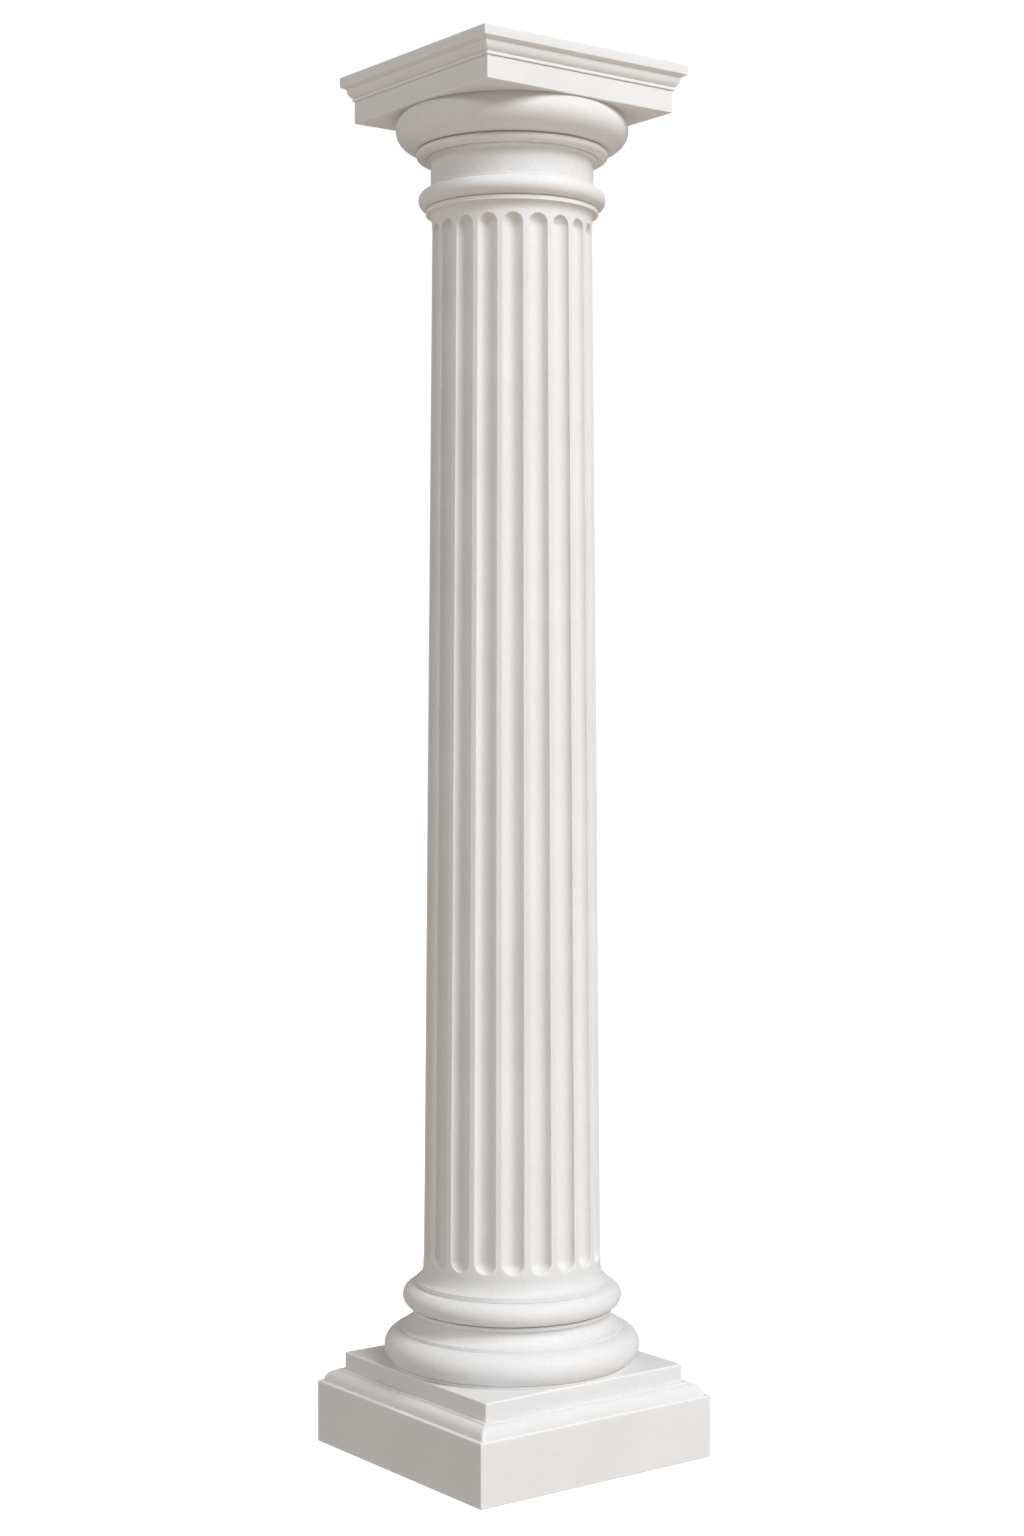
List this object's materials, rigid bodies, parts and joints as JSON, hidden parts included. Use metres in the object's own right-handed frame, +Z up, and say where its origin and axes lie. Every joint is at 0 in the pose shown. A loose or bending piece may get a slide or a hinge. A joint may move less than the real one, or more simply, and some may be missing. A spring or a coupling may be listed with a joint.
{
  "type": "doric column",
  "caption": "Fluted stone column with a moulded square plinth, a round moulded base and capital and a square abacus, standing by its own weight and able to carry a beam or an urn.",
  "frame": {"origin": "middle of the plinth's underside, on the ground", "axes": "+Z up along the column's axis; +X and +Y square to the sides of the plinth and the abacus, each through the middle of a flute"},
  "size_m": [0.49, 0.49, 2.4],
  "materials": {
    "stone": "matt, finely rubbed white stone with faint tool strokes and soft arrises"
  },
  "bodies": {
    "root": {"plinth": "stone", "base": "stone", "shaft": "stone", "capital": "stone", "abacus": "stone"}
  },
  "joints": []
}
